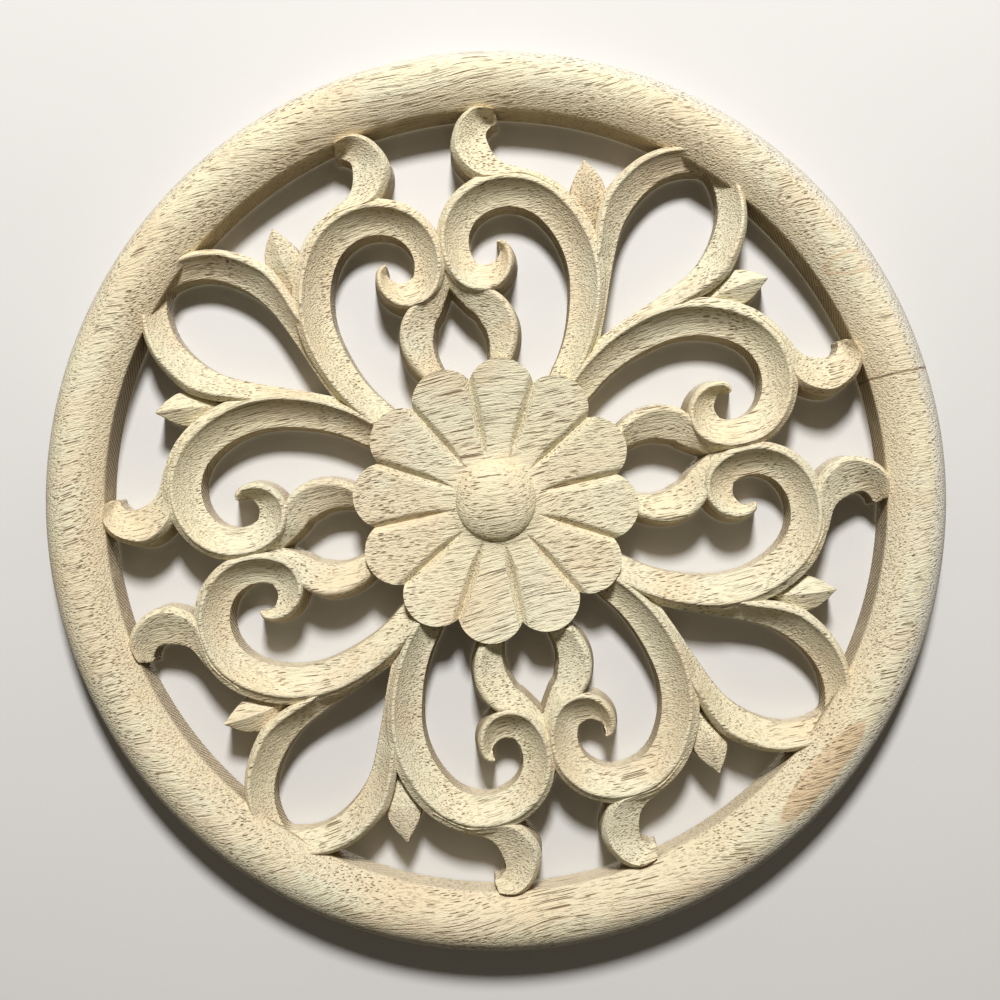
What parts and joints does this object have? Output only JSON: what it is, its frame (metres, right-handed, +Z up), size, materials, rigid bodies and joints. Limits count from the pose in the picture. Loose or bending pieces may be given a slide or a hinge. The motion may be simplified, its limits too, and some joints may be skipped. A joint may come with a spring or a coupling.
{
  "type": "carved wood applique",
  "caption": "Round openwork wood applique for doors, walls and furniture: a half-round rim holds upright tulips and paired C-scrolls that spring from a petalled rosette; the back is flat.",
  "frame": {"origin": "centre of the flat back face, which lies against the wall or door", "axes": "+Y points out of the back, into the wall; the carved face looks along -Y; +Z is up, through the middle of a scroll pair; +X runs along the wood's grain"},
  "size_m": [0.3, 0.018, 0.3],
  "materials": {
    "raw_pale_hardwood": "raw, sanded, unpainted"
  },
  "bodies": {
    "root": {"carved_panel": "raw_pale_hardwood"}
  },
  "joints": []
}
